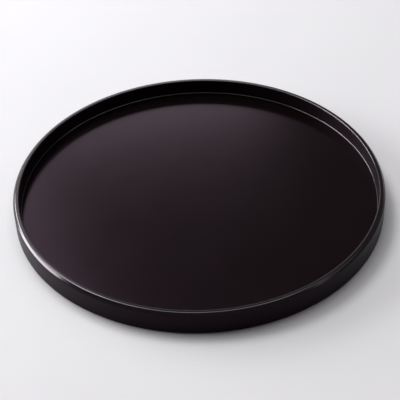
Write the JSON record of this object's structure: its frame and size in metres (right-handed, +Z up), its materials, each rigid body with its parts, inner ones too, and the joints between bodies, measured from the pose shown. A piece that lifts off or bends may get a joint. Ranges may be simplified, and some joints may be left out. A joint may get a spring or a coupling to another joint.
{
  "type": "round serving tray",
  "caption": "Round lacquered serving tray: flat satin floor inside a low upright bentwood wall with a rounded lip, standing on a shallow foot ring.",
  "frame": {"origin": "on the table, under the tray's centre, at the bottom of the foot", "axes": "+Z up out of the tray floor, the tray's axis; +X to the right and +Y to the back for a person in front of it"},
  "size_m": [0.3, 0.3, 0.02],
  "materials": {
    "wall_lacquer": "semi-gloss black-brown lacquer on the wall, lip and foot",
    "floor_lacquer": "satin black-brown lacquer with a faint purple cast, non-slip tray floor",
    "underside_lacquer": "plain matt black-brown lacquer",
    "hoop_wood": "straight-grained cypress strip, bent and glued",
    "face_veneer": "rotary-cut basswood veneer, sanded",
    "crossband": "cross-grained basswood veneer",
    "bamboo": "split bamboo, whittled",
    "wood_filler": "lacquer and wood-flour paste, smoothed with a spatula"
  },
  "bodies": {
    "root": {"outer_hoop": "hoop_wood", "well_hoop": "hoop_wood", "foot_hoop": "hoop_wood", "floor_top_veneer": "face_veneer", "floor_upper_crossband": "crossband", "floor_core": "face_veneer", "floor_lower_crossband": "crossband", "floor_bottom_veneer": "face_veneer", "floor_pegs": "bamboo", "well_filler": "wood_filler", "recess_filler": "wood_filler", "floor_lacquer": "floor_lacquer", "wall_lacquer": "wall_lacquer", "underside_lacquer": "underside_lacquer"}
  },
  "joints": []
}
